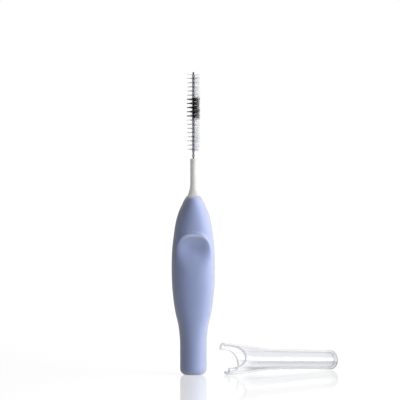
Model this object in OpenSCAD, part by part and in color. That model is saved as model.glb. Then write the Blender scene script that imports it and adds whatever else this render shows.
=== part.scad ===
// Interdental brush, standing on the flat foot of its grip, with its clear cap taken off and
// lying beside it. Millimetres, +Z up along the brush, +X to the right seen from the front.
// The origin is at the centre of the grip's flat foot.

/* [Grip] */
// Height of the soft grip, from its flat foot to the rim round the neck
grip_h = 43; // [38:0.5:60]
// Widest part of the grip, seen from the front
grip_w = 10.5; // [9:0.1:14]
// Deepest part of the grip, seen from the side
grip_d = 8.6; // [7.5:0.1:12]
// Diameter of the grip's round foot
foot_d = 6.4; // [5.5:0.1:7.4]
// Radius of the rounded edge round the foot
foot_edge_r = 1.4; // [0.6:0.1:2]
// Width of the grip's rim round the neck
rim_t = 0.12; // [0.06:0.01:0.3]

/* [Thumb recess] */
// Width of the recess, which is also the width of its arched top
recess_w = 8.5; // [6:0.1:9.4]
// Height over which the arched top grows to that width
arch_h = 5.6; // [3.5:0.1:7]
// Height of the recess, from its arched top down to where it fades out
recess_len = 11.5; // [9:0.5:16]
// Distance from the top of the recess to the grip's rim
recess_drop = 9.1; // [8:0.1:12]
// Depth of the dished recess, below the grip's rounded face
recess_deep = 1.8; // [0.8:0.1:2.2]
// Width over which the dish sinks from the arch to its full depth
recess_step = 3.7; // [2.5:0.1:4.4]
// Height of the lip that stands proud over the arch
lip_h = 0.2; // [0:0.02:0.3]
// Width of that lip
lip_w = 0.5; // [0.4:0.1:1.6]

/* [Handle core] */
// Length of the neck that shows above the grip
neck_len = 9; // [6:0.5:14]
// Diameter of the slim part of the neck
neck_d = 1.5; // [1.3:0.05:2]
// Diameter of the neck where it meets the grip, and of the stem inside the grip
stem_d = 2.9; // [2.6:0.1:3.4]
// Height of the flare between the grip and the slim part of the neck
flare_h = 3.1; // [2:0.1:4.5]
// Rounding of the neck's flat top
neck_edge_r = 0.12; // [0.05:0.01:0.2]
// Length of the stem inside the grip
stem_len = 31; // [24:1:34]
// Diameter of the two collars that lock the stem in the grip
collar_d = 4.2; // [3.8:0.1:4.6]
// Thickness of each collar
collar_t = 1.4; // [0.8:0.1:2]
// Distance between the two collars
collar_gap = 9; // [6:0.5:12]
// Clearance between the core and the grip moulded round it
mould_fit = 0.02; // [0.01:0.01:0.05]

/* [Wire] */
// Length of the wire stem above the neck
wire_len = 20.8; // [16:0.1:24]
// Diameter of the wire
wire_d = 0.25; // [0.2:0.01:0.3]
// Gap between the wire's two legs, where they clamp the filaments
wire_gap = 0.11; // [0.09:0.01:0.16]
// Length in which the twisted legs turn once round each other
twist_pitch = 2; // [1.6:0.1:2.6]
// Turn of the legs round each other where they leave the neck
twist_start = 45; // [0:5:180]
// Depth to which the wire is held in the neck
anchor_len = 9; // [6:0.5:11]
// Clearance between the wire and its bore in the neck
wire_fit = 0.015; // [0.01:0.005:0.03]

/* [Bristles] */
// Diameter of the brush over its filaments
brush_d = 3.2; // [2.4:0.1:3.4]
// Bare wire between the neck and the lowest filament
bare_len = 1.7; // [1:0.1:3]
// Length of the lower white tuft
base_tuft_len = 8; // [5:0.1:9]
// Length of the black band
band_tuft_len = 5; // [2:0.1:6]
// Length of the upper white tuft
tip_tuft_len = 5.4; // [3:0.1:6]
// Spacing of the filaments along the wire
filament_step = 0.092; // [0.08:0.001:0.12]
// Width of a filament
filament_w = 0.06; // [0.04:0.005:0.07]
// Share of the full length that the lowest filaments have
short_share = 0.84; // [0.7:0.01:1]
// Clearance between one tuft and the next
tuft_fit = 0.02; // [0.01:0.01:0.05]

/* [Cap] */
// Wall of the cap
cap_wall = 0.55; // [0.4:0.05:0.7]
// Thickness of the cap's closed end
cap_end_wall = 0.7; // [0.5:0.1:1.2]
// Room between the wire's tip and the cap's closed end
tip_room = 0.3; // [0.1:0.1:1]
// Room beside the filaments, at the closed end
side_room = 0.06; // [0.02:0.02:0.3]
// Room above and below the filaments, at the closed end
oval_room = 0.28; // [0.1:0.02:0.6]
// How much wider the bore is at the mouth than at the closed end, on each flank
flank_draft = 0.1; // [0.05:0.01:0.2]
// How much higher the bore is at the mouth than at the closed end, above and below
oval_draft = 0.26; // [0.1:0.01:0.5]
// Depth to which the two lobes reach over the grip's shoulder
seat_drop = 0.7; // [0.5:0.1:1.5]
// Clearance between a lobe and the shoulder
seat_fit = 0.2; // [0.05:0.05:0.3]
// Length over which the mouth spreads to its two lobes
spread_len = 15; // [8:0.5:18]
// Depth of the U-shaped notches between the lobes
notch_len = 4.7; // [3:0.1:7]
// Length of the rounded closed end
dome_len = 2.1; // [1.5:0.1:3]
// Roundness of the mouth's edge
lip_round = 0.16; // [0.05:0.01:0.25]

/* [Cap beside the brush] */
// Distance of the cap's mouth to the right of the brush
cap_right = 7.5; // [6.8:0.1:14]
// Distance of the cap's mouth behind the brush
cap_behind = 0; // [-2:0.1:6]
// Turn of the cap, away from the viewer
cap_yaw = 28.5; // [0:0.5:60]
// Roll of the cap, which lifts its near notch
cap_roll = 26.5; // [0:0.5:40]

/* [Hidden] */

// Overrun of cuts that break through a face
over = 0.1;
turned_fn = 64;
bore_fn = 32;

// Grip: height share, then how far the width and the depth have grown, from 0 at the foot to 1
// at the belly
lower_shares = [[0, 0, 0], [0.1, 0, 0], [0.19, 0.02, 0.01], [0.255, 0.145, 0.09], [0.29, 0.27, 0.19],
    [0.34, 0.52, 0.42], [0.4, 0.735, 0.66], [0.48, 0.915, 0.88], [0.56, 0.995, 0.98], [0.62, 1, 1]];
// The same, from 1 at the belly to 0 at the rim round the neck
upper_shares = [[0.62, 1, 1], [0.7, 0.965, 1], [0.78, 0.86, 0.98], [0.85, 0.735, 0.93],
    [0.91, 0.54, 0.88], [0.955, 0.305, 0.79], [0.98, 0.16, 0.67], [0.993, 0.055, 0.45], [1, 0, 0]];
belly_share = 0.62;
shoulder_share = 0.94;
// Exponent of the grip's cross section: 2 is an ellipse, more is squarer
belly_power = 2.35;
grip_sides = 48;
foot_rings = 5;
body_rings = 42;
shoulder_rings = 8;
rim_r = stem_d / 2 + mould_fit + rim_t;

// Recess: height of its arched top, of the arch's centre and of its lower end
recess_top_z = grip_h - recess_drop;
arch_r = recess_w / 2;
arch_z = recess_top_z - arch_h;
recess_foot_z = recess_top_z - recess_len;
// Share of the recess's height at which the dish has its full depth, counted from the lower end
full_depth_share = 0.8;
// Exponent of the arch's outline: 2 is an ellipse, more is squarer
arch_power = 2.3;

// Core
neck_top_z = grip_h + neck_len;
stem_foot_z = grip_h - stem_len;
flare_steps = 8;
edge_steps = 4;
collar_foot_zs = [stem_foot_z + collar_t, stem_foot_z + collar_t + collar_gap];

// Wire
leg_r = (wire_gap + wire_d) / 2;
wire_across = 2 * leg_r + wire_d;
tip_z = neck_top_z + wire_len;
bend_z = tip_z - wire_d / 2 - leg_r;
wire_sides = 6;
rings_per_turn = 10;
bend_steps = 6;

// Bristles: the filaments leave a thin hub that lies in the gap between the wire's legs
hub_t = filament_w;
hub_w = wire_d / 2;
base_tuft_z = neck_top_z + bare_len;
band_tuft_z = base_tuft_z + base_tuft_len + tuft_fit;
tip_tuft_z = band_tuft_z + band_tuft_len + tuft_fit;
// Filaments over which the short ones at the foot grow to their full length
short_rows = 12;
// Height of a filament's tip as a share of the height of its root
point_share = 0.5;
// Corners of a ring of the hub, and of a filament
corners = 4;

// Cap: its length and its mouth follow the brush that it covers
cap_len = wire_len + neck_len + seat_drop + tip_room + cap_end_wall;
mouth_half = grip_half((grip_h - seat_drop) / grip_h, 2) + seat_fit;
bore_half_w = brush_d / 2 + side_room;
bore_half_h = brush_d / 2 + oval_room;
// Share of the mouth's half height at which the notches start
lobe_share = 0.8;
// Exponent of the notches' outline: 2 is an ellipse, more is squarer
notch_power = 2.6;
dome_power = 2.4;
lobe_steps = 3;
notch_steps = 9;
barrel_rings = 13;
// The barrel's rings lie closer to each other near the mouth
barrel_power = 1.3;
dome_rings = 5;
quarter = lobe_steps + notch_steps;
cap_sides = 4 * quarter;

// Curve through the rows of a table: column c at u, with the slope of the neighbouring rows
function span(t, u, i = 0) = i >= len(t) - 2 || u < t[i + 1][0] ? i : span(t, u, i + 1);
function slope(t, i, c) = let (a = t[max(i - 1, 0)], b = t[min(i + 1, len(t) - 1)])
    (b[c] - a[c]) / (b[0] - a[0]);
function curve_at(t, u, c) =
    let (i = span(t, u), w = t[i + 1][0] - t[i][0], s = (u - t[i][0]) / w)
    let (rise = t[i + 1][c] - t[i][c], a = slope(t, i, c) * w - rise, b = rise - slope(t, i + 1, c) * w)
    t[i][c] + s * rise + s * (1 - s) * (a * (1 - s) + b * s);
function ease(s) = let (k = min(max(s, 0), 1)) k * k * (3 - 2 * k);

// Half width (c = 1) or half depth (c = 2) of the grip at a share of its height
function grip_half(u, c) = let (belly = (c == 1 ? grip_w : grip_d) / 2)
    u < belly_share
        ? foot_d / 2 + (belly - foot_d / 2) * curve_at(lower_shares, u, c)
        : rim_r + (belly - rim_r) * curve_at(upper_shares, u, c);

// Exponent of the section: an ellipse at both ends, squarer at the belly
function grip_power(u) = 2 + (belly_power - 2) * ease(u / belly_share) * ease((1 - u) / (1 - belly_share));

// How far a point at x, z lies inside the arch of the recess
function inside_arch(x, z) = let (across = abs(x) / arch_r, up = max(z - arch_z, 0) / arch_h)
    arch_r * (1 - pow(pow(across, arch_power) + pow(up, arch_power), 1 / arch_power));

// Change of the grip's half depth at x, z: the dish of the recess and the lip over it
function recess_at(x, z) =
    let (k = inside_arch(x, z), low = pow(ease((z - recess_foot_z) / (recess_len * full_depth_share)), 2))
    let (lip = exp(-pow((k + lip_w / 2) / (lip_w / 2), 2)) * ease((z - arch_z) / arch_h))
    let (dish = 1 - pow(1 - min(max(k / recess_step, 0), 1), 2))
    lip * lip_h - recess_deep * dish * low;

// One ring of the grip
function grip_ring(z, half_w, half_d, power) = [for (j = [0 : grip_sides - 1])
    let (a = 360 * j / grip_sides)
    let (x = sign(cos(a)) * pow(abs(cos(a)), 2 / power) * half_w)
    let (y = sign(sin(a)) * pow(abs(sin(a)), 2 / power) * half_d)
    [x, y + sign(sin(a)) * abs(sin(a)) * recess_at(x, z), z]];
function grip_level(z) = let (u = z / grip_h)
    grip_ring(z, grip_half(u, 1), grip_half(u, 2), grip_power(u));

// Closed skin over a first point, rings of points and a last point
function skin_points(first, rings, last) = concat([first], [for (r = rings) each r], [last]);
function skin_faces(rings, sides) = let (last = rings * sides + 1) concat(
    [for (j = [0 : sides - 1]) [0, 1 + j, 1 + (j + 1) % sides]],
    [for (i = [0 : rings - 2], j = [0 : sides - 1])
        let (a = 1 + i * sides + j, d = 1 + i * sides + (j + 1) % sides)
        each [[a, a + sides, d + sides], [a, d + sides, d]]],
    [for (j = [0 : sides - 1]) [last, last - sides + (j + 1) % sides, last - sides + j]]);
module skin(first, rings, last) {
    polyhedron(points = skin_points(first, rings, last), faces = skin_faces(len(rings), len(rings[0])));
}

// Outline of the core, from its foot in the grip to the top of the neck, widened by grow
function collar_points(z, grow) = [[stem_d / 2 + grow, z - grow], [collar_d / 2 + grow, z - grow],
    [collar_d / 2 + grow, z + collar_t + grow], [stem_d / 2 + grow, z + collar_t + grow]];
function core_points(grow) = concat(
    [[0, stem_foot_z - grow], [stem_d / 2 + grow, stem_foot_z - grow]],
    [for (z = collar_foot_zs) each collar_points(z, grow)]);
function flare_points() = [for (i = [0 : flare_steps]) let (s = i / flare_steps)
    [neck_d / 2 + (stem_d - neck_d) / 2 * pow(1 - s, 2), grip_h + flare_h * s]];
function neck_edge_points() = [for (i = [0 : edge_steps]) let (a = 90 * i / edge_steps)
    [neck_d / 2 - neck_edge_r * (1 - cos(a)), neck_top_z - neck_edge_r * (1 - sin(a))]];

// Middle line of the wire: up one leg, round the bend at the tip and down the other
function leg_angle(z) = twist_start + 360 * (max(z, neck_top_z) - neck_top_z) / twist_pitch;
function leg_point(z, side) = let (a = leg_angle(z) + side) [leg_r * cos(a), leg_r * sin(a), z];
leg_rings = ceil((bend_z - neck_top_z) / twist_pitch * rings_per_turn);
leg_zs = concat([neck_top_z - anchor_len],
    [for (i = [0 : leg_rings]) neck_top_z + (bend_z - neck_top_z) * i / leg_rings]);
bend_points = [for (i = [1 : bend_steps - 1]) let (b = 180 * i / bend_steps, a = leg_angle(bend_z))
    [leg_r * cos(b) * cos(a), leg_r * cos(b) * sin(a), bend_z + leg_r * sin(b)]];
wire_line = concat([for (z = leg_zs) leg_point(z, 0)], bend_points,
    [for (i = [len(leg_zs) - 1 : -1 : 0]) leg_point(leg_zs[i], 180)]);
function unit(v) = v / norm(v);
function wire_ring(i) =
    let (p = wire_line[i], last = len(wire_line) - 1)
    let (t = unit(wire_line[min(i + 1, last)] - wire_line[max(i - 1, 0)]))
    let (out = [p[0], p[1], max(p[2] - bend_z, 0)], side = unit(out - (out * t) * t), up = cross(t, side))
    [for (j = [0 : wire_sides - 1]) let (a = 360 * j / wire_sides)
        p + wire_d / 2 * (cos(a) * side + sin(a) * up)];

// A tuft: a thin twisted hub of four-sided rings. Each step along the hub grows one filament on
// each side, square to the line through the wire's legs.
function hub_ring(z) = let (a = leg_angle(z) + 90, e = [cos(a), sin(a)], f = [-sin(a), cos(a)])
    [for (q = [[1, -1], [1, 1], [-1, 1], [-1, -1]])
        let (p = q[0] * hub_w / 2 * e + q[1] * hub_t / 2 * f) [p[0], p[1], z]];
function filament_tip(z, way, reach) =
    let (a = leg_angle(z) + 90 + way, e = [cos(a), sin(a)], f = [-sin(a), cos(a)])
    [for (q = [[-1, -1], [1, -1], [1, 1], [-1, 1]])
        let (p = reach * e + q[0] * hub_t / 2 * f)
        [p[0], p[1], z + q[1] * filament_step / 2 * point_share]];
function quad(a, b, c, d) = [[a, c, b], [a, d, c]];
// Faces of one filament: four flanks and a tip, from its root corners r and its first tip point t
function filament_faces(r, t) = concat(
    [for (i = [0 : corners - 1]) let (n = (i + 1) % corners) each quad(r[i], r[n], t + n, t + i)],
    quad(t, t + 1, t + 2, t + 3));
// Faces of one step of the hub, from its first corner r, with the filaments on two of its sides
function step_faces(r, t) = let (up = r + corners) concat(
    filament_faces([r, r + 1, up + 1, up], t),
    quad(r + 1, r + 2, up + 2, up + 1),
    filament_faces([r + 2, r + 3, up + 3, up + 2], t + corners),
    quad(r + 3, r, up, up + 3));
module tuft(foot_z, tuft_len, short) {
    rows = floor(tuft_len / filament_step);
    step = tuft_len / rows;
    reach = [for (k = [0 : rows - 1])
        brush_d / 2 * (short ? short_share + (1 - short_share) * ease((k + 1) / short_rows) : 1)];
    rings = [for (k = [0 : rows]) each hub_ring(foot_z + k * step)];
    tips = [for (k = [0 : rows - 1], way = [0, 180])
        each filament_tip(foot_z + (k + 0.5) * step, way, reach[k])];
    last = len(rings) - 1;
    faces = [for (k = [0 : rows - 1]) each step_faces(corners * k, last + 1 + 2 * corners * k)];
    ends = concat(quad(3, 2, 1, 0), quad(last - 3, last - 2, last - 1, last));
    polyhedron(points = concat(rings, tips), faces = concat(faces, ends));
}

// One quarter of the mouth's edge: cosine and sine of the angle from the lobe, and notch depth
function edge_at(k) = k <= lobe_steps
    ? let (a = acos(lobe_share) * k / lobe_steps) [cos(a), sin(a), 0]
    : let (q = 90 * (k - lobe_steps) / notch_steps, c = lobe_share * pow(cos(q), 2 / notch_power))
        [c, sqrt(1 - c * c), notch_len * pow(sin(q), 2 / notch_power)];
mouth_edge = [for (j = [0 : cap_sides - 1])
    let (k = j % quarter, turn = floor(j / quarter), e = edge_at(turn % 2 == 0 ? k : quarter - k))
    [e[0] * (turn == 1 || turn == 2 ? -1 : 1), e[1] * (turn < 2 ? -1 : 1), e[2]]];

// Half height and half width of the cap's bore at a distance from its mouth
function bore_h(s) = let (barrel = bore_half_h + oval_draft)
    barrel - oval_draft * s / cap_len + (mouth_half - barrel) * (1 - ease(s / spread_len));
function bore_w(s) = bore_half_w + flank_draft * (1 - s / cap_len);

// Points of the cap along its own axis: distance from the mouth, height and nearness
function cap_ring(i, wall) = [for (e = mouth_edge)
    let (s = e[2] + (cap_len - dome_len - e[2]) * pow(i / barrel_rings, barrel_power))
    [s, e[0] * (bore_h(s) + wall), e[1] * (bore_w(s) + wall)]];
function cap_dome_ring(i, wall, long) =
    let (b = 90 * i / (dome_rings + 1), foot = cap_len - dome_len)
    let (k = pow(cos(b), 2 / dome_power), s = foot + long * pow(sin(b), 2 / dome_power))
    [for (e = mouth_edge) [s, e[0] * k * (bore_h(foot) + wall), e[1] * k * (bore_w(foot) + wall)]];
cap_lip = [for (e = mouth_edge)
    [e[2] - lip_round, e[0] * (bore_h(e[2]) + cap_wall / 2), e[1] * (bore_w(e[2]) + cap_wall / 2)]];
cap_rings = concat(
    [for (i = [dome_rings : -1 : 1]) cap_dome_ring(i, cap_wall, dome_len)],
    [for (i = [barrel_rings : -1 : 0]) cap_ring(i, cap_wall)],
    [cap_lip],
    [for (i = [0 : barrel_rings]) cap_ring(i, 0)],
    [for (i = [1 : dome_rings]) cap_dome_ring(i, 0, dome_len - cap_end_wall)]);

// The cap is rolled about its axis, tilted until its mouth and its closed end both touch the
// surface that the brush stands on, turned and put in its place
function rolled(p) = [p[0], p[1] * sin(-cap_roll) + p[2] * cos(cap_roll),
    p[1] * cos(cap_roll) + p[2] * sin(cap_roll)];
function lowest(points) = min([for (p = points) p[2]]);
mouth_low = lowest([for (p = cap_ring(0, cap_wall)) rolled(p)]);
end_low = lowest([for (p = cap_ring(barrel_rings, cap_wall)) rolled(p)]);
cap_tilt = atan((end_low - mouth_low) / (cap_len - dome_len));
function tilted(p) = [p[0] * cos(cap_tilt) + p[2] * sin(cap_tilt), p[1],
    p[2] * cos(cap_tilt) - p[0] * sin(cap_tilt)];
cap_lift = -lowest([for (r = cap_rings, p = r) tilted(rolled(p))]);
function placed(p) = let (q = tilted(rolled(p)))
    [cap_right + q[0] * cos(cap_yaw) + q[1] * sin(cap_yaw),
        cap_behind + q[0] * sin(cap_yaw) - q[1] * cos(cap_yaw), cap_lift + q[2]];

// Soft sleeve of the grip, moulded round the stem of the core
module grip_sleeve() {
    flat_r = foot_d / 2 - foot_edge_r;
    foot = [for (i = [0 : foot_rings]) let (a = 90 * i / foot_rings, r = flat_r + foot_edge_r * sin(a))
        grip_ring(foot_edge_r * (1 - cos(a)), r, r, 2)];
    shoulder_z = grip_h * shoulder_share;
    body = [for (i = [1 : body_rings]) grip_level(foot_edge_r + (shoulder_z - foot_edge_r) * i / body_rings)];
    shoulder = [for (i = [1 : shoulder_rings])
        grip_level(shoulder_z + (grip_h - shoulder_z) * sin(90 * i / shoulder_rings))];
    color([0.55, 0.6, 0.78])
        difference() {
            skin([0, 0, 0], concat(foot, body, shoulder), [0, 0, grip_h]);
            rotate_extrude($fn = turned_fn)
                polygon(concat(core_points(mould_fit),
                    [[stem_d / 2 + mould_fit, grip_h + over], [0, grip_h + over]]));
        }
}

// White core: stem with its collars, flare and neck, bored for the wire
module handle_core() {
    color([0.93, 0.93, 0.91])
        difference() {
            rotate_extrude($fn = turned_fn)
                polygon(concat(core_points(0), flare_points(), neck_edge_points(), [[0, neck_top_z]]));
            translate([0, 0, neck_top_z - anchor_len - wire_fit])
                cylinder(d = wire_across + 2 * wire_fit, h = anchor_len + wire_fit + over, $fn = bore_fn);
        }
}

// One wire, bent double at the tip and twisted, with its two ends held in the neck
module twisted_wire() {
    rings = [for (i = [0 : len(wire_line) - 1]) wire_ring(i)];
    color([0.6, 0.62, 0.66])
        skin(wire_line[0], rings, wire_line[len(wire_line) - 1]);
}

module bristles_tip() {
    color([0.94, 0.94, 0.96]) tuft(tip_tuft_z, tip_tuft_len, false);
}

module bristles_band() {
    color([0.12, 0.12, 0.13]) tuft(band_tuft_z, band_tuft_len, false);
}

module bristles_base() {
    color([0.94, 0.94, 0.96]) tuft(base_tuft_z, base_tuft_len, true);
}

// Clear cap with an oval bore, a mouth of two lobes and a rounded closed end
module protective_cap() {
    rings = [for (r = cap_rings) [for (p = r) placed(p)]];
    color([0.85, 0.88, 0.92, 0.5])
        skin(placed([cap_len, 0, 0]), rings, placed([cap_len - cap_end_wall, 0, 0]));
}

strand_count = 2 * (floor(base_tuft_len / filament_step) + floor(band_tuft_len / filament_step)
    + floor(tip_tuft_len / filament_step));
echo(strands = strand_count, cap_length = cap_len, cap_tilt = cap_tilt, mouth_gap = 2 * mouth_half);

grip_sleeve();
handle_core();
twisted_wire();
bristles_tip();
bristles_band();
bristles_base();
protective_cap();
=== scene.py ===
import math
import random

import bpy
from mathutils import Matrix, Vector


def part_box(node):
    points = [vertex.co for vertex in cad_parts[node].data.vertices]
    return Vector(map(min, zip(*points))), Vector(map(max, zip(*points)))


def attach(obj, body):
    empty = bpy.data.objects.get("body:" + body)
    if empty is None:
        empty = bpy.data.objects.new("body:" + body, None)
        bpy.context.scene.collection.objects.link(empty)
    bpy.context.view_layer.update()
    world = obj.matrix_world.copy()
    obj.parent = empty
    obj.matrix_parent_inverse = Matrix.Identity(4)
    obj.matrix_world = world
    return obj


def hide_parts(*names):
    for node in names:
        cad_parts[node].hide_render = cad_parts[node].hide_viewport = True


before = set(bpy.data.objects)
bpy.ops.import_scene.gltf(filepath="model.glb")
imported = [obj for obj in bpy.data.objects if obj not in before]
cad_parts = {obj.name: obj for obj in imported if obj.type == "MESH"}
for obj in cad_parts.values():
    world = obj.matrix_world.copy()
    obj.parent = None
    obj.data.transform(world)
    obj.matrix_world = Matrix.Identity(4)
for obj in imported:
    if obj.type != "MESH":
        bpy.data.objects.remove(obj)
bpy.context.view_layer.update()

# Interdental brush standing on the foot of its grip, with its clear cap lying beside it.
# Metres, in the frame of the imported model.
mm = 0.001
onLevel = 0.001 * mm  # how near a point has to be to count as lying on a level
samePlace = 0.0002 * mm  # points nearer than this become one
closingSteps = (0.66, 0.33)  # shares of its width by which a loop steps in before it closes
print("frame loaded:", ", ".join(sorted(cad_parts)))


# Small tools

def letGo():
    # operators act on all that is selected, so nothing is left selected
    if bpy.context.mode != "OBJECT":
        bpy.ops.object.mode_set(mode="OBJECT")
    bpy.ops.object.select_all(action="DESELECT")


def hold(obj):
    letGo()
    obj.select_set(True)
    bpy.context.view_layer.objects.active = obj


def openMesh(obj):
    # into edit mode with nothing selected
    hold(obj)
    bpy.ops.object.mode_set(mode="EDIT")
    bpy.ops.mesh.select_mode(type="VERT")
    bpy.ops.mesh.select_all(action="DESELECT")


def pickPoints(obj, test):
    # selects the points that pass the test, by their place
    openMesh(obj)
    bpy.ops.object.mode_set(mode="OBJECT")
    for point in obj.data.vertices:
        point.select = test(point.co)
    bpy.ops.object.mode_set(mode="EDIT")


def startRing(name, sides, ring):
    # a ring of points to grow a skin from: ring is (height, half width, half depth)
    letGo()
    bpy.ops.mesh.primitive_circle_add(vertices=sides, radius=ring[1], location=(0, 0, ring[0]))
    obj = bpy.context.object
    obj.name = name
    obj.data.name = name
    bpy.ops.object.transform_apply(location=True, rotation=True, scale=True)
    bpy.ops.object.mode_set(mode="EDIT")
    bpy.ops.mesh.select_mode(type="VERT")
    bpy.ops.mesh.select_all(action="SELECT")
    bpy.ops.transform.resize(value=(1, ring[2] / ring[1], 1), center_override=(0, 0, ring[0]))
    return obj


def growRings(rings):
    # extrudes the selected loop to each next ring
    for here, there in zip(rings, rings[1:]):
        bpy.ops.mesh.extrude_region_move(
            TRANSFORM_OT_translate={"value": (0, 0, there[0] - here[0])})
        bpy.ops.transform.resize(
            value=(there[1] / here[1], there[2] / here[2], 1),
            center_override=(0, 0, there[0]))


def closeLoop(height):
    # steps the selected loop inwards on its own level and gathers it in one point
    for before, share in zip((1,) + closingSteps, closingSteps):
        bpy.ops.mesh.extrude_region_move(TRANSFORM_OT_translate={"value": (0, 0, 0)})
        bpy.ops.transform.resize(
            value=(share / before, share / before, 1), center_override=(0, 0, height))
    bpy.ops.mesh.extrude_region_move(TRANSFORM_OT_translate={"value": (0, 0, 0)})
    bpy.ops.mesh.merge(type="CENTER")


def closeMesh(obj, near=samePlace):
    # merges what lies in one place and turns the faces outwards
    openMesh(obj)
    bpy.ops.mesh.select_all(action="SELECT")
    bpy.ops.mesh.remove_doubles(threshold=near)
    bpy.ops.mesh.normals_make_consistent(inside=False)
    bpy.ops.object.mode_set(mode="OBJECT")


def smoothShade(obj, sharpest=50):
    hold(obj)
    bpy.ops.object.shade_smooth_by_angle(angle=math.radians(sharpest))


def ease(s):
    k = min(max(s, 0), 1)
    return k * k * (3 - 2 * k)


def curveAt(rows, u, column):
    # smooth curve through the rows of a table, with the slope of the neighbouring rows
    i = 0
    while i < len(rows) - 2 and u >= rows[i + 1][0]:
        i += 1

    def slope(k):
        a = rows[max(k - 1, 0)]
        b = rows[min(k + 1, len(rows) - 1)]
        return (b[column] - a[column]) / (b[0] - a[0])

    width = rows[i + 1][0] - rows[i][0]
    s = (u - rows[i][0]) / width
    rise = rows[i + 1][column] - rows[i][column]
    a = slope(i) * width - rise
    b = rise - slope(i + 1) * width
    return rows[i][column] + s * rise + s * (1 - s) * (a * (1 - s) + b * s)


def dress(piece, body, slotName, paint, *nodes):
    # what every piece needs: its finish, its body and the nodes that it stands for
    piece.data.materials.clear()
    piece.data.materials.append(paint)
    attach(piece, body)
    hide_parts(*nodes)


# Shader maths: a Num is a socket that can stand in a sum

class Num:
    def __init__(self, paint, socket):
        self.paint = paint
        self.socket = socket

    def math(self, operation, *others):
        return self.paint.add("ShaderNodeMath", {"operation": operation}, [self, *others])

    def __add__(self, other):
        return self.math("ADD", other)

    def __mul__(self, other):
        return self.math("MULTIPLY", other)

    def __sub__(self, other):
        return self.math("SUBTRACT", other)

    def __rsub__(self, other):
        return self.paint.add("ShaderNodeMath", {"operation": "SUBTRACT"}, [other, self])

    def __truediv__(self, other):
        return self.math("DIVIDE", other)

    def __pow__(self, other):
        return self.math("POWER", other)

    __radd__ = __add__
    __rmul__ = __mul__


class Paint:
    def __init__(self, owner):
        owner.use_nodes = True
        self.tree = owner.node_tree
        self.tree.nodes.clear()

    def add(self, kind, settings=None, values=None, out=0):
        node = self.tree.nodes.new(kind)
        for name, value in (settings or {}).items():
            if name == "stops":
                self.setStops(node.color_ramp, value)
            else:
                setattr(node, name, value)
        pairs = values.items() if isinstance(values, dict) else enumerate(values or [])
        for name, value in pairs:
            if isinstance(value, Num):
                self.tree.links.new(value.socket, node.inputs[name])
            else:
                node.inputs[name].default_value = value
        return Num(self, node.outputs[out])

    def setStops(self, ramp, stops):
        while len(ramp.elements) < len(stops):
            ramp.elements.new(0.5)
        for element, (place, colour) in zip(ramp.elements, stops):
            element.position = place
            element.color = colour

    def place(self):
        return self.add("ShaderNodeTexCoord", out="Object")

    def stretched(self, scale):
        # the object's own coordinates, stretched by a scale for each axis
        return self.add("ShaderNodeMapping", values={"Vector": self.place(), "Scale": scale})

    def noise(self, scale, detail, vector=None):
        values = {"Vector": vector or self.place(), "Scale": scale, "Detail": detail}
        return self.add("ShaderNodeTexNoise", values=values)

    def mix(self, share, first, second):
        return self.add("ShaderNodeMix", {"data_type": "RGBA"}, {0: share, 6: first, 7: second}, 2)

    def bump(self, height, depth, strength):
        values = {"Height": height, "Distance": depth, "Strength": strength}
        return self.add("ShaderNodeBump", values=values)

    def show(self, shader, kind="ShaderNodeOutputMaterial"):
        end = self.tree.nodes.new(kind)
        self.tree.links.new(shader.socket, end.inputs["Surface"])


def rgb(*parts):
    # a colour written as it looks on screen, 0 to 255, turned into linear light
    def linear(c):
        c /= 255
        return c / 12.92 if c <= 0.04045 else ((c + 0.055) / 1.055) ** 2.4
    return tuple(linear(c) for c in parts) + (1,)


def newPaint(name):
    material = bpy.data.materials.new(name)
    return material, Paint(material)


# Grip: soft sleeve with an arched thumb recess on both faces

grip = {
    "depth": 8.6 * mm,
    "footDiameter": 6.4 * mm,
    "footRounding": 1.4 * mm,
    "rimRadius": 1.59 * mm,
    "boreRadius": 1.47 * mm,
    "boreDepth": 6 * mm,
    "bellyShare": 0.62,  # height of the widest place
    "bellyPower": 2.35,  # how square the section is there: 2 is an ellipse
    "recessWidth": 8.5 * mm,
    "archHeight": 5.6 * mm,
    "recessLength": 11.5 * mm,
    "recessDrop": 9.1 * mm,  # from the rim down to the top of the arch
    "recessDeep": 1.8 * mm,
    "recessStep": 3.7 * mm,  # from the arch's edge to where it is at its deepest
    "fullDepthShare": 0.8,  # share of its length over which the recess rises to the skin
    "archPower": 2.3,  # how square the arch is: 2 is an ellipse
    "lipHeight": 0.2 * mm,
    "lipWidth": 0.5 * mm,
    "lineInside": 0.2 * mm,  # the painted highlight line lies this far inside the arch's edge
    "lineHalf": 0.23 * mm,
    "lineShift": 0.35 * mm,  # and moves out by this towards the right
    "lineFrom": 0.55,  # share of the arch's height at which the line begins
    "lineFade": 0.35,
    # strength of the painted highlight line
    "highlightStrength": 0.95,
    "paintedSheenShare": 0.65,  # how much painted sheen pales the skin where it turns away
    "paintedSheenPower": 1.5,
    "sides": 32,
    "rings": 30,
    "smoothing": 3,
}
# height share, then how far width and depth have grown from the foot (0) to the belly (1)
lowerShares = [
    (0, 0, 0), (0.1, 0, 0), (0.19, 0.02, 0.01), (0.255, 0.145, 0.09), (0.29, 0.27, 0.19),
    (0.34, 0.52, 0.42), (0.4, 0.735, 0.66), (0.48, 0.915, 0.88), (0.56, 0.995, 0.98), (0.62, 1, 1)]
# the same, from the belly (1) up to the rim round the neck (0)
upperShares = [
    (0.62, 1, 1), (0.7, 0.965, 1), (0.78, 0.86, 0.98), (0.85, 0.735, 0.93), (0.91, 0.54, 0.88),
    (0.955, 0.305, 0.79), (0.98, 0.16, 0.67), (0.993, 0.055, 0.45), (1, 0, 0)]
gripLow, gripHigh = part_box("grip_sleeve")
gripTop = gripHigh.z
gripWidth = gripHigh.x - gripLow.x


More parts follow.
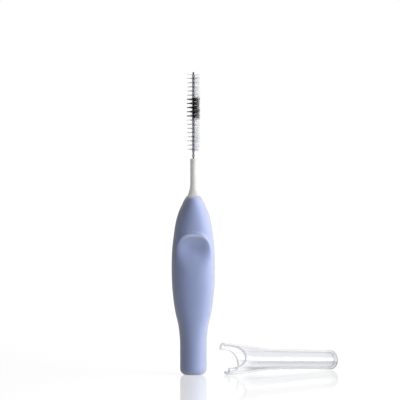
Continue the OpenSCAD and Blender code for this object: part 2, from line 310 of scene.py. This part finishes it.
def gripHalf(z, column):
    # half width (column 1) or half depth (column 2) of the grip at a height
    u = z / gripTop
    belly = (gripWidth if column == 1 else grip["depth"]) / 2
    foot = grip["footDiameter"] / 2
    if u >= grip["bellyShare"]:
        return grip["rimRadius"] + (belly - grip["rimRadius"]) * curveAt(upperShares, u, column)
    half = foot + (belly - foot) * curveAt(lowerShares, u, column)
    under = grip["footRounding"] - z
    if under > 0:
        half -= grip["footRounding"] - math.sqrt(grip["footRounding"] ** 2 - under ** 2)
    return half


def gripPower(z):
    # exponent of the section: an ellipse at both ends, squarer at the belly
    u = z / gripTop
    belly = grip["bellyShare"]
    return 2 + (grip["bellyPower"] - 2) * ease(u / belly) * ease((1 - u) / (1 - belly))


def recessAt(x, z):
    # the share of the painted highlight line along the arch of the recess, and the grip's change of
    # depth there, scoop and proud lip together
    half, high = grip["recessWidth"] / 2, grip["archHeight"]
    archZ = gripTop - grip["recessDrop"] - high
    footZ = archZ + high - grip["recessLength"]
    power = grip["archPower"]
    across, up = abs(x) / half, max(z - archZ, 0) / high
    inside = half * (1 - (across ** power + up ** power) ** (1 / power))
    halfLip = grip["lipWidth"] / 2
    lip = math.exp(-((inside + halfLip) / halfLip) ** 2) * ease((z - archZ) / high)
    low = ease((z - footZ) / (grip["recessLength"] * grip["fullDepthShare"])) ** 2
    dish = 1 - (1 - min(max(inside / grip["recessStep"], 0), 1)) ** 2
    # the painted highlight line is there along the top of the arch only, is faintest on the left,
    # and climbs on to the lip on the right
    highlightShare = ease(((z - archZ) / high - grip["lineFrom"]) / grip["lineFade"]) * ease(x / half + 1)
    fromLine = inside - grip["lineInside"] + grip["lineShift"] * ease(x / half)
    line = math.exp(-(fromLine / grip["lineHalf"]) ** 2) * highlightShare
    return line, lip * grip["lipHeight"] - grip["recessDeep"] * dish * low


def seatOnGrip(point):
    # a point's share of the painted highlight line, and its place on the true section of the grip
    z = min(max(point.z, 0), gripTop)
    halfWidth, halfDepth = gripHalf(z, 1), gripHalf(z, 2)
    angle = math.atan2(point.y / halfDepth, point.x / halfWidth)
    power = 2 / gripPower(z)
    x = math.copysign(abs(math.cos(angle)) ** power, math.cos(angle)) * halfWidth
    y = math.copysign(abs(math.sin(angle)) ** power, math.sin(angle)) * halfDepth
    line, change = recessAt(x, z)
    return line * abs(math.sin(angle)), Vector((x, y + math.sin(angle) * change, z))


def makeGrip():
    rounding = grip["footRounding"]
    footZs = [rounding * (1 - math.cos(math.radians(a))) for a in (0, 30, 60)]
    bodyZs = [rounding + (gripTop - rounding) * i / grip["rings"] for i in range(grip["rings"] + 1)]
    rings = [(z, gripHalf(z, 1), gripHalf(z, 2)) for z in footZs + bodyZs]
    piece = startRing("softGrip", grip["sides"], rings[0])
    growRings(rings)
    bpy.ops.object.mode_set(mode="OBJECT")
    smoother = piece.modifiers.new("smoother", "SUBSURF")
    smoother.levels = smoother.render_levels = grip["smoothing"]
    bpy.ops.object.modifier_apply(modifier="smoother")
    # each point's share of the painted highlight line, kept for the paint
    highlightShare = []
    for point in piece.data.vertices:
        line, point.co = seatOnGrip(point.co)
        highlightShare.append(line)
    piece.data.attributes.new("rubbedLine", "FLOAT", "POINT").data.foreach_set("value", highlightShare)
    # the bore that the core stands in
    pickPoints(piece, lambda p: p.z > gripTop - onLevel)
    growRings([
        (gripTop, grip["rimRadius"], grip["rimRadius"]),
        (gripTop, grip["boreRadius"], grip["boreRadius"]),
        (gripTop - grip["boreDepth"], grip["boreRadius"], grip["boreRadius"])])
    closeLoop(gripTop - grip["boreDepth"])
    pickPoints(piece, lambda p: p.z < onLevel)
    closeLoop(0)
    bpy.ops.object.mode_set(mode="OBJECT")
    closeMesh(piece)
    smoothShade(piece)
    return piece


def softGripPaint():
    material, paint = newPaint("softGrip")
    cloud = paint.noise(220, 3)
    grain = paint.noise(9000, 3)
    colour = paint.mix(cloud, rgb(150, 165, 214), rgb(161, 176, 223))
    # painted highlight: the edge over the recess is painted pale, as if lit from above
    line = paint.add("ShaderNodeAttribute", {"attribute_name": "rubbedLine"}, out="Fac")
    colour = paint.mix(line * grip["highlightStrength"], colour, rgb(222, 229, 255))
    # painted sheen: the soft skin is painted paler where it turns away
    edge = paint.add("ShaderNodeLayerWeight", values={"Blend": 0.5}, out="Facing")
    colour = paint.mix(edge ** grip["paintedSheenPower"] * grip["paintedSheenShare"], colour, rgb(194, 196, 207))
    values = {
        "Base Color": colour,
        "Roughness": 0.46 + grain * 0.12,
        "Specular IOR Level": 0.75,
        "Sheen Weight": 1,
        "Sheen Roughness": 0.5,
        "Normal": paint.bump(grain, 0.012 * mm, 0.6),
    }
    paint.show(paint.add("ShaderNodeBsdfPrincipled", values=values))
    return material


dress(makeGrip(), "brush", "soft_grip", softGripPaint(), "grip_sleeve")
print("grip made")


# Core: the slim white neck with its flare, and the stem inside the grip

core = {
    "neckDiameter": 1.5 * mm,
    "stemDiameter": 2.9 * mm,
    "flareHeight": 3.1 * mm,
    "topRounding": 0.12 * mm,
    "boreDiameter": 0.64 * mm,
    "boreDepth": 4 * mm,
    "stemDepth": 5.9 * mm,
    "flareRings": 16,
    "edgeRings": 6,
    "sides": 96,
}
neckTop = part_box("handle_core")[1].z


def makeCore():
    neck, stem = core["neckDiameter"] / 2, core["stemDiameter"] / 2
    edge, bore = core["topRounding"], core["boreDiameter"] / 2
    rings = [(gripTop - core["stemDepth"], stem)]
    for i in range(core["flareRings"] + 1):
        s = i / core["flareRings"]
        rings.append((gripTop + core["flareHeight"] * s, neck + (stem - neck) * (1 - s) ** 2))
    for i in range(core["edgeRings"] + 1):
        a = math.radians(90 * i / core["edgeRings"])
        rings.append((neckTop - edge * (1 - math.sin(a)), neck - edge * (1 - math.cos(a))))
    rings += [(neckTop, bore), (neckTop - core["boreDepth"], bore)]
    rings = [(z, r, r) for z, r in rings]
    piece = startRing("whiteCore", core["sides"], rings[0])
    growRings(rings)
    closeLoop(rings[-1][0])
    pickPoints(piece, lambda p: p.z < rings[0][0] + onLevel)
    closeLoop(rings[0][0])
    bpy.ops.object.mode_set(mode="OBJECT")
    closeMesh(piece)
    smoothShade(piece)
    return piece


def whiteCorePaint():
    material, paint = newPaint("whiteCore")
    cloud = paint.noise(600, 2)
    values = {
        "Base Color": paint.mix(cloud, rgb(183, 183, 180), rgb(191, 191, 188)),
        "Roughness": 0.42 + paint.noise(5000, 2) * 0.08,
        "Specular IOR Level": 0.3,
        "Subsurface Weight": 0.9,
        "Subsurface Radius": (1, 0.95, 0.85),
        "Subsurface Scale": 1.1 * mm,
        "Emission Color": (1, 1, 0.98, 1),
        "Emission Strength": 0.22,  # stands for the light that shines through the thin neck
        "Normal": paint.bump(paint.noise(4000, 2), 0.004 * mm, 0.5),
    }
    paint.show(paint.add("ShaderNodeBsdfPrincipled", values=values))
    return material


dress(makeCore(), "brush", "white_core", whiteCorePaint(), "handle_core")
print("core made")


# Wire: one wire bent double at the tip and twisted, with both ends in the neck

wire = {
    "thickness": 0.25 * mm,
    "gap": 0.11 * mm,  # between the two legs, where the filaments are clamped
    "pitch": 2 * mm,
    "startTurn": 45,
    "heldDepth": 3.5 * mm,
    "ringsPerTurn": 20,
    "bendSteps": 14,
    "roundness": 2,
    "bandShade": 0.85,  # how dark the wire is painted as shade among the dark filaments
}
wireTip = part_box("twisted_wire")[1].z
legRadius = (wire["gap"] + wire["thickness"]) / 2
bendZ = wireTip - wire["thickness"] / 2 - legRadius


def legAngle(z):
    turns = (max(z, neckTop) - neckTop) / wire["pitch"]
    return math.radians(wire["startTurn"] + 360 * turns)


def legPoint(z, side):
    a = legAngle(z) + side
    return Vector((legRadius * math.cos(a), legRadius * math.sin(a), z))


def wirePath():
    steps = math.ceil((bendZ - neckTop) / wire["pitch"] * wire["ringsPerTurn"])
    zs = [neckTop - wire["heldDepth"]]
    zs += [neckTop + (bendZ - neckTop) * i / steps for i in range(steps + 1)]
    up = [legPoint(z, 0) for z in zs]
    down = [legPoint(z, math.pi) for z in reversed(zs)]
    a = legAngle(bendZ)
    bend = []
    for i in range(1, wire["bendSteps"]):
        b = math.pi * i / wire["bendSteps"]
        reach, rise = legRadius * math.cos(b), legRadius * math.sin(b)
        bend.append(Vector((reach * math.cos(a), reach * math.sin(a), bendZ + rise)))
    return up + bend + down


def makeWire():
    letGo()
    points = wirePath()
    path = bpy.data.curves.new("twistedWire", "CURVE")
    path.dimensions = "3D"
    path.bevel_depth = wire["thickness"] / 2
    path.bevel_resolution = wire["roundness"]
    path.use_fill_caps = True
    line = path.splines.new("POLY")
    line.points.add(len(points) - 1)
    for knot, point in zip(line.points, points):
        knot.co = (*point, 1)
    piece = bpy.data.objects.new("twistedWire", path)
    bpy.context.scene.collection.objects.link(piece)
    hold(piece)
    bpy.ops.object.convert(target="MESH")
    piece = bpy.context.object
    closeMesh(piece)
    smoothShade(piece)
    return piece


def steelWirePaint():
    material, paint = newPaint("steelWire")
    drawn = paint.noise(1, 3, paint.stretched((26000, 26000, 1500)))
    # painted shade: the wire is painted dark between the dark filaments, which hide it there
    bandLow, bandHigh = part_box("bristles_band")
    z = paint.add("ShaderNodeSeparateXYZ", values=[paint.place()], out="Z")
    fromMiddle = (z - (bandLow.z + bandHigh.z) / 2).math("ABSOLUTE")
    inBand = fromMiddle.math("LESS_THAN", (bandHigh.z - bandLow.z) / 2)
    steel = paint.mix(drawn, rgb(58, 61, 72), rgb(102, 106, 118))
    values = {
        "Base Color": paint.mix(inBand * wire["bandShade"], steel, rgb(30, 30, 33)),
        "Metallic": 1,
        "Roughness": 0.24 + drawn * 0.2,
        "Normal": paint.bump(drawn, 0.006 * mm, 0.5),
    }
    paint.show(paint.add("ShaderNodeBsdfPrincipled", values=values))
    return material


dress(makeWire(), "brush", "steel_wire", steelWirePaint(), "twisted_wire")
print("wire made")


# Bristles: straight filaments clamped between the wire's legs and fanned out by its twist

bristles = {
    "brushDiameter": 3.2 * mm,
    "thickness": 0.038 * mm,
    "clearPerMillimetre": 35,
    "darkPerMillimetre": 94,
    "gather": 0.92,  # how far the filaments on the left are drawn to the level of their row
    "gatherReach": 5,  # how soon that sets in from the middle
    "gatherAtWire": 0.75,  # share of it at the wire
    "gatherTurn": 0.55,  # share of it in their direction
    "splay": 5,  # degrees sideways, on the left
    "lift": 2,  # degrees up and down, on the left
    "wildSplay": 38,  # the same two on the right
    "wildLift": 22,
    "wildDroop": 7,  # degrees that those on the right hang
    "wildReach": 0.08,  # share by which they are longer
    "shortShare": 0.84,  # length of the lowest filaments
    "shortLength": 1.1 * mm,  # height over which they grow to the full one
    "cutSpread": 0.03,
    "clampHalf": 0.3 * mm,
    # where the filaments' colour changes towards the right, across the wire
    "rightToneFrom": -0.6 * mm,
    "rightToneTo": 0.3 * mm,
    "seed": 7,
}
draw = random.Random(bristles["seed"])


def strandRing(centre, side, up, half):
    return [centre + half * (side * a + up * b) for a, b in ((1, 0), (0, 1), (-1, 0), (0, -1))]


def halfStrand(root, turn, reach):
    # one side of a filament, from the clamp in the wire to the tip. On the left filaments gather in
    # level rows, one for each half turn, and on the right they are bent apart by use
    left, right = max(-math.cos(turn), 0), max(math.cos(turn), 0)
    splay = bristles["splay"] + (bristles["wildSplay"] - bristles["splay"]) * right
    lift = bristles["lift"] + (bristles["wildLift"] - bristles["lift"]) * right
    fromRow = turn % (2 * math.pi) - math.pi
    pulled = fromRow * bristles["gather"] * min(left * bristles["gatherReach"], 1)
    heading = turn - pulled * bristles["gatherTurn"]
    a = heading + math.radians(draw.gauss(0, splay))
    rise = math.radians(draw.gauss(-bristles["wildDroop"] * right, lift))
    out = Vector((math.cos(a) * math.cos(rise), math.sin(a) * math.cos(rise), math.sin(rise)))
    shift = Vector((0, 0, -pulled * wire["pitch"] / (2 * math.pi)))
    around = Vector((math.cos(heading), math.sin(heading), 0))
    clamp = root + around * bristles["clampHalf"] + shift * bristles["gatherAtWire"]
    reached = reach * (1 + bristles["wildReach"] * right)
    length = reached * (1 - abs(draw.gauss(0, bristles["cutSpread"]))) - bristles["clampHalf"]
    return [clamp, root + around * bristles["clampHalf"] + out * length + shift]


def strandPath(z, layer, reach):
    # one filament from tip to tip through the gap between the wire's legs
    base = legAngle(z) + math.pi / 2
    across = Vector((-math.sin(base), math.cos(base), 0))
    root = Vector((0, 0, z)) + across * layer * bristles["thickness"] / 2
    first = halfStrand(root, base, reach)
    second = halfStrand(root, base + math.pi, reach)
    return second[::-1] + first


def makeTuft(name, node, perMillimetre, short=False):
    low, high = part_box(node)
    count = round((high.z - low.z) / mm * perMillimetre)
    points, faces = [], []
    for k in range(count):
        z = low.z + (k + 0.5) * (high.z - low.z) / count
        grown = ease((z - low.z) / bristles["shortLength"]) if short else 1
        share = bristles["shortShare"] + (1 - bristles["shortShare"]) * grown
        path = strandPath(z, 1 if k % 2 else -1, bristles["brushDiameter"] / 2 * share)
        line = (path[-1] - path[0]).normalized()
        side = line.cross(Vector((0, 0, 1))).normalized()
        up = side.cross(line)
        first = len(points)
        for centre in path:
            points += strandRing(centre, side, up, bristles["thickness"] / 2)
        for i in range(len(path) - 1):
            for j in range(4):
                a, b = first + 4 * i + j, first + 4 * i + (j + 1) % 4
                faces.append((a, b, b + 4, a + 4))
        faces.append(tuple(first + j for j in (3, 2, 1, 0)))
        faces.append(tuple(first + 4 * (len(path) - 1) + j for j in range(4)))
    mesh = bpy.data.meshes.new(name)
    mesh.from_pydata(points, [], faces)
    piece = bpy.data.objects.new(name, mesh)
    bpy.context.scene.collection.objects.link(piece)
    openMesh(piece)
    bpy.ops.mesh.select_all(action="SELECT")
    bpy.ops.mesh.normals_make_consistent(inside=False)
    bpy.ops.object.mode_set(mode="OBJECT")
    smoothShade(piece)
    return piece


def filamentPaint(name, dark, light, rightColour, solid, through):
    # towards the right the filaments' colour changes to another: a painted shade on the clear ones,
    # a browner tone on the dark ones
    material, paint = newPaint(name)
    strand = paint.noise(3000, 2)
    x = paint.add("ShaderNodeSeparateXYZ", values=[paint.place()], out="X")
    rightToneWidth = bristles["rightToneTo"] - bristles["rightToneFrom"]
    rightShare = ((x - bristles["rightToneFrom"]) / rightToneWidth).math("MAXIMUM", 0).math("MINIMUM", 1)
    values = {
        "Base Color": paint.mix(rightShare, paint.mix(strand, dark, light), rightColour),
        "Roughness": 0.35 + strand * 0.15,
        "IOR": 1.3,
        "Transmission Weight": through,
        "Alpha": solid,
    }
    paint.show(paint.add("ShaderNodeBsdfPrincipled", values=values))
    return material


# the clear filaments turn to a grey-blue painted shade on the right
clearFilament = filamentPaint(
    "clearFilament", rgb(226, 228, 234), rgb(242, 244, 248), rgb(136, 140, 162),
    solid=0.42, through=0.75)
darkFilament = filamentPaint(
    "darkFilament", rgb(34, 33, 36), rgb(58, 54, 54), rgb(52, 46, 42), solid=1, through=0)
tipTuft = makeTuft("tipTuft", "bristles_tip", bristles["clearPerMillimetre"])
darkBand = makeTuft("darkBand", "bristles_band", bristles["darkPerMillimetre"])
baseTuft = makeTuft("baseTuft", "bristles_base", bristles["clearPerMillimetre"], short=True)
dress(tipTuft, "brush", "clear_filament", clearFilament, "bristles_tip")
dress(darkBand, "brush", "dark_filament", darkFilament, "bristles_band")
dress(baseTuft, "brush", "clear_filament", clearFilament, "bristles_base")
print("bristles made")


# Cap: clear, with an oval bore, a mouth of two lobes and a rounded closed end

cap = {
    "wall": 0.55 * mm,
    "endWall": 0.7 * mm,
    "length": 31.5 * mm,
    "mouthHalf": 3.51 * mm,
    "boreHalfWidth": 1.66 * mm,
    "boreHalfHeight": 1.88 * mm,
    "flankDraft": 0.1 * mm,
    "ovalDraft": 0.26 * mm,
    "spread": 15 * mm,  # length over which the mouth spreads
    "notch": 4.7 * mm,
    "notchPower": 2.6,  # how square the notches are: 2 is an ellipse
    "dome": 2.1 * mm,
    "domePower": 2.4,
    "endReach": 0.3 * mm,  # how near the dome's foot the cap's end touches the surface
    "lip": 0.16 * mm,
    "lobeShare": 0.8,  # cosine of the angle at which a lobe ends
    "right": 7.5 * mm,
    "behind": 0 * mm,
    "yaw": 28.5,
    "roll": 26.5,
    "lobeSteps": 10,
    "notchSteps": 30,
    "barrelRings": 60,
    "barrelPower": 1.3,  # draws the rings closer towards the mouth
    "domeRings": 16,
    "lipRings": 5,
    "samePlace": 0.00005 * mm,
    "sharpest": 80,
    "rimShare": 0.02,  # share of the barrel that gets the painted shade of the mouth's rim
    "bandFade": 0.45,  # the painted shade bands set in past the notch, over this share of its depth
    # how grey the painted shade is on the rim, the outline, the bore and the closed end
    "rimGrey": 0.5,
    "outlineGrey": 0.4,
    "outlinePower": 4,
    "boreGrey": 0.4,
    "borePower": 5,
    "endGrey": 0.7,
    "endPower": 1.5,
}


def capBore(s):
    # half height and half width of the bore at a distance from the mouth
    barrel = cap["boreHalfHeight"] + cap["ovalDraft"]
    high = barrel - cap["ovalDraft"] * s / cap["length"]
    high += (cap["mouthHalf"] - barrel) * (1 - ease(s / cap["spread"]))
    return high, cap["boreHalfWidth"] + cap["flankDraft"] * (1 - s / cap["length"])


def mouthEdge(k):
    # cosine and sine of the angle from the near lobe, and how deep the mouth's edge lies there
    quarter = cap["lobeSteps"] + cap["notchSteps"]
    turn, step = divmod(k % (4 * quarter), quarter)
    if turn % 2:
        step = quarter - step
    share = cap["lobeShare"]
    if step <= cap["lobeSteps"]:
        a = math.acos(share) * step / cap["lobeSteps"]
        edge = [math.cos(a), math.sin(a), 0]
    else:
        q = math.radians(90 * (step - cap["lobeSteps"]) / cap["notchSteps"])
        power = 2 / cap["notchPower"]
        c = share * max(math.cos(q), 0) ** power
        edge = [c, math.sqrt(1 - c * c), cap["notch"] * math.sin(q) ** power]
    if turn in (1, 2):
        edge[0] = -edge[0]
    if turn < 2:
        edge[1] = -edge[1]
    return edge


def capPoint(ring, edge):
    # a point of the cap's skin along its own axis: ring is (stretch of skin, share of it)
    stretch, share = ring
    foot = cap["length"] - cap["dome"]
    wall = cap["wall"] if stretch.startswith("outer") else 0
    if stretch.endswith("Barrel"):
        s = edge[2] + (foot - edge[2]) * share ** cap["barrelPower"]
        high, wide = capBore(s)
        return Vector((s, edge[0] * (high + wall), edge[1] * (wide + wall)))
    if stretch.endswith("Dome"):
        b = math.radians(90 * share)
        long = cap["dome"] if wall else cap["dome"] - cap["endWall"]
        k = max(math.cos(b), 0) ** (2 / cap["domePower"])
        s = foot + long * math.sin(b) ** (2 / cap["domePower"])
        high, wide = capBore(foot)
        return Vector((s, edge[0] * k * (high + wall), edge[1] * k * (wide + wall)))
    # the rounded lip, half an ellipse from the outer skin to the inner one
    b = math.pi * share
    high, wide = capBore(edge[2])
    out = cap["wall"] * (1 + math.cos(b)) / 2
    s = edge[2] - cap["lip"] * math.sin(b)
    return Vector((s, edge[0] * (high + out), edge[1] * (wide + out)))


def capSkin():
    # the stretches of skin in their order, from the closed end out, over the lip and back inside
    dome, barrel, lip = cap["domeRings"], cap["barrelRings"], cap["lipRings"]
    rings = [("outerDome", i / dome) for i in range(dome, 0, -1)]
    rings += [("outerBarrel", i / barrel) for i in range(barrel, -1, -1)]
    rings += [("lip", i / (lip + 1)) for i in range(1, lip + 1)]
    rings += [("innerBarrel", i / barrel) for i in range(barrel + 1)]
    rings += [("innerDome", i / dome) for i in range(1, dome + 1)]
    return rings


def layCapDown(piece):
    # rolls the cap, tilts it until its mouth and its closed end both touch the surface, and
    # turns it to its place
    foot = cap["length"] - cap["dome"]
    piece.data.transform(Matrix.Rotation(math.radians(90), 4, "X"))
    piece.data.transform(Matrix.Rotation(math.radians(-cap["roll"]), 4, "X"))
    points = [p.co for p in piece.data.vertices]
    mouthLow = min(p.z for p in points if p.x < cap["notch"])
    endLow = min(p.z for p in points if abs(p.x - foot) < cap["endReach"])
    piece.data.transform(Matrix.Rotation(math.atan((endLow - mouthLow) / foot), 4, "Y"))
    lift = -min(p.co.z for p in piece.data.vertices)
    piece.data.transform(Matrix.Rotation(math.radians(cap["yaw"]), 4, "Z"))
    piece.data.transform(Matrix.Translation((cap["right"], cap["behind"], lift)))


def heightShare(point):
    # how high a point of the cap lies once it is rolled: 0 on its underside, 1 on its top, with
    # the barrel's own measure in the mouth too
    high, wide = capBore(max(point.x, cap["spread"]))
    up, side = math.cos(math.radians(cap["roll"])), math.sin(math.radians(cap["roll"]))
    half = math.hypot((high + cap["wall"]) * up, (wide + cap["wall"]) * side)
    return 0.5 + (point.y * up + point.z * side) / half / 2


def makeCap():
    rings = capSkin()
    sides = 4 * (cap["lobeSteps"] + cap["notchSteps"])
    letGo()
    bpy.ops.mesh.primitive_grid_add(
        x_subdivisions=sides, y_subdivisions=len(rings) - 1, size=1, location=(0, 0, 0))
    piece = bpy.context.object
    piece.name = "clearCap"
    piece.data.name = "clearCap"
    # the flat sheet is wrapped round the cap: its breadth goes round, its height runs along
    marks = {name: [] for name in ("mouthRim", "boreSide", "closedEnd", "heightShare", "bandShare")}
    for point in piece.data.vertices:
        k = round((point.co.x + 0.5) * sides)
        i = round((point.co.y + 0.5) * (len(rings) - 1))
        point.co = capPoint(rings[i], mouthEdge(k))
        stretch, share = rings[i]
        # the mouth's rim and the barrel beside it are marked for painted shade
        besideRim = stretch.endswith("Barrel") and share < cap["rimShare"]
        marks["mouthRim"].append(float(stretch == "lip" or besideRim))
        marks["boreSide"].append(float(stretch.startswith("inner")))
        marks["closedEnd"].append(float(stretch.endswith("Dome")))
        marks["heightShare"].append(heightShare(point.co))
        # the two lobes show no painted shade bands
        marks["bandShare"].append(ease((point.co.x / cap["notch"] - 1) / cap["bandFade"]))
    for name, values in marks.items():
        piece.data.attributes.new(name, "FLOAT", "POINT").data.foreach_set("value", values)
    closeMesh(piece, cap["samePlace"])
    layCapDown(piece)
    smoothShade(piece, cap["sharpest"])
    return piece


# painted shade bands for what shines through the wall, by its height: where (0 the underside, 1 the
# top) and how grey
capShadeBands = [
    (0, 0.14), (0.04, 0.3), (0.11, 0.3), (0.13, 0.06), (0.2, 0.08), (0.32, 0.19), (0.4, 0.3),
    (0.44, 0), (0.54, 0), (0.58, 0.07), (0.845, 0.08), (0.86, 0.26), (0.875, 0.06), (1, 0.05)]


def clearCapPaint():
    material, paint = newPaint("clearCap")
    flow = paint.noise(350, 2)
    edge = paint.add("ShaderNodeLayerWeight", values={"Blend": 0.5}, out="Facing")
    rim, bore, closed, level, banded = [
        paint.add("ShaderNodeAttribute", {"attribute_name": name}, out="Fac")
        for name in ("mouthRim", "boreSide", "closedEnd", "heightShare", "bandShare")]
    clear = paint.mix(flow, rgb(247, 248, 250), rgb(252, 252, 253))
    # painted shade: what shines through its upper and lower half, with a clear band between them
    bands = paint.add("ShaderNodeValToRGB", {"stops": [
        (place, (tone, tone, tone, 1)) for place, tone in capShadeBands]}, [level])
    # painted shade: its outline, the bore inside it and the closed end are painted darker where
    # they turn away
    shadeLines = edge ** cap["outlinePower"] * cap["outlineGrey"]
    shadeLines = shadeLines + bore * edge ** cap["borePower"] * cap["boreGrey"]
    shadeLines = shadeLines + closed * edge ** cap["endPower"] * cap["endGrey"]
    # all the painted shade together: the bands, the lines and the mouth's rim
    paintedShade = (bands * banded + shadeLines + rim * cap["rimGrey"]).math("MINIMUM", 1)
    values = {
        "Base Color": paint.mix(paintedShade, clear, rgb(96, 100, 106)),
        "Roughness": 0.01 + flow * 0.02,
        "IOR": 1.06,
        "Transmission Weight": 1,
        "Coat Weight": 0.25,
        "Coat Roughness": 0.04,
        "Normal": paint.bump(flow, 0.005 * mm, 0.1),
    }
    paint.show(paint.add("ShaderNodeBsdfPrincipled", values=values))
    return material


dress(makeCap(), "cap", "clear_cap", clearCapPaint(), "protective_cap")
print("cap made")


# Floor, light and camera

stage = {
    "floorSize": 6,
    "floorGlow": 0.88,  # how bright the floor shows near the object
    "farGlow": 1,  # and at farReach and beyond
    "farReach": 0.35,
    "floorPale": 0.25,
    "floorDim": 0.02,  # what it throws on the object from the left
    "floorBright": 0.45,  # and from the right
    "floorTurn": 0.05,  # breadth over which the one turns into the other
    "floorMiddle": 0.2,  # share of the turn at the middle of the foot
    "mirror": 0.42,
    "mirrorBlur": 0.07,
    "ambient": 0.24,
    "leftReach": 1.3,  # how soon the surround is at its darkest towards the left
    "leftShade": 0.9,
    "keyPower": 1.4,
    "keyPlace": (0.42, -0.14, 0.1),
    "rimPower": 0.5,
    "rimPlace": (0.4, 0.12, 0.14),
    "topPower": 0.6,
    "topPlace": (0.15, -0.12, 0.45),
    "lampSize": 0.26,
    "aim": (0, 0, 0.035),
}
camera = {
    "distance": 0.6,
    "height": 52.5 * mm,
    "right": 1.588 * mm,
    "pitch": 1.0,
    "lens": 224.5,
    "sensor": 36,
    "nearest": 0.01,
    "farthest": 20,
}


def whereSeen(paint):
    # three masks, each 1 for one kind of ray: straight from the camera, off gloss, and through
    # clear parts
    node = paint.add("ShaderNodeLightPath").socket.node
    kinds = ("Is Camera Ray", "Is Glossy Ray", "Is Transmission Ray")
    return [Num(paint, node.outputs[kind]) for kind in kinds]


def makeFloor():
    letGo()
    bpy.ops.mesh.primitive_plane_add(size=stage["floorSize"], location=(0, 0, 0))
    floor = bpy.context.object
    floor.name = "floor"
    material, paint = newPaint("paleFloor")
    direct, glossy, through = whereSeen(paint)
    seen = (direct + glossy + through).math("MINIMUM", 1)
    # what the floor throws on the object comes from the right, as the lamps' light does
    x = paint.add("ShaderNodeSeparateXYZ", values=[paint.place()], out="X")
    away = paint.add("ShaderNodeVectorMath", {"operation": "LENGTH"}, [paint.place()], "Value")
    right = (x / stage["floorTurn"] + stage["floorMiddle"]).math("MAXIMUM", 0).math("MINIMUM", 1)
    thrown = stage["floorDim"] + right * (stage["floorBright"] - stage["floorDim"])
    far = (away / stage["farReach"]).math("MINIMUM", 1)
    shown = stage["floorGlow"] + far * (stage["farGlow"] - stage["floorGlow"])
    glow = paint.add("ShaderNodeEmission", values={
        "Color": (1, 1, 1, 1), "Strength": thrown + seen * (shown - thrown)})
    pale = paint.add("ShaderNodeBsdfDiffuse", values={"Color": (stage["floorPale"],) * 3 + (1,)})
    both = paint.add("ShaderNodeAddShader", values=[glow, pale])
    gloss = paint.add("ShaderNodeBsdfAnisotropic", values={
        "Color": (1, 1, 1, 1), "Roughness": stage["mirrorBlur"]})
    # the mirror fades out smoothly towards farReach
    mirror = (1 - far * far) ** 2 * stage["mirror"]
    paint.show(paint.add("ShaderNodeMixShader", values=[mirror, both, gloss]))
    floor.data.materials.append(material)


def makeSurround():
    world = bpy.data.worlds.new("studio")
    bpy.context.scene.world = world
    paint = Paint(world)
    way = paint.add("ShaderNodeTexCoord", out="Generated")
    apart = paint.add("ShaderNodeSeparateXYZ", values=[way])
    left = (apart * -stage["leftReach"]).math("MAXIMUM", 0).math("MINIMUM", 1)
    level = 1 - left * stage["leftShade"]
    # white to the camera, shaded on the left in gloss and through clear parts, dim for all else
    direct, glossy, through = whereSeen(paint)
    seen = (glossy + through).math("MINIMUM", 1)
    diffuse = level * stage["ambient"]
    rest = diffuse + seen * (level - diffuse)
    strength = rest + direct * (1 - rest)
    back = paint.add("ShaderNodeBackground", values={"Color": (1, 1, 1, 1), "Strength": strength})
    paint.show(back, "ShaderNodeOutputWorld")


def makeLamp(name, place, power):
    lamp = bpy.data.lights.new(name, "AREA")
    lamp.size = stage["lampSize"]
    lamp.energy = power
    obj = bpy.data.objects.new(name, lamp)
    obj.location = place
    aim = Vector(stage["aim"]) - Vector(place)
    obj.rotation_euler = aim.to_track_quat("-Z", "Y").to_euler()
    bpy.context.scene.collection.objects.link(obj)


def makeCamera():
    eye = bpy.data.cameras.new("camera")
    eye.sensor_width = camera["sensor"]
    eye.lens = camera["lens"]
    eye.clip_start = camera["nearest"]
    eye.clip_end = camera["farthest"]
    obj = bpy.data.objects.new("camera", eye)
    obj.location = (camera["right"], -camera["distance"], camera["height"])
    obj.rotation_euler = (math.radians(90 - camera["pitch"]), 0, 0)
    bpy.context.scene.collection.objects.link(obj)
    bpy.context.scene.camera = obj


makeFloor()
makeSurround()
makeLamp("key", stage["keyPlace"], stage["keyPower"])
makeLamp("rim", stage["rimPlace"], stage["rimPower"])
makeLamp("top", stage["topPlace"], stage["topPower"])
makeCamera()
bpy.context.scene.view_settings.view_transform = "Standard"
print("stage, lamps and camera made")

letGo()
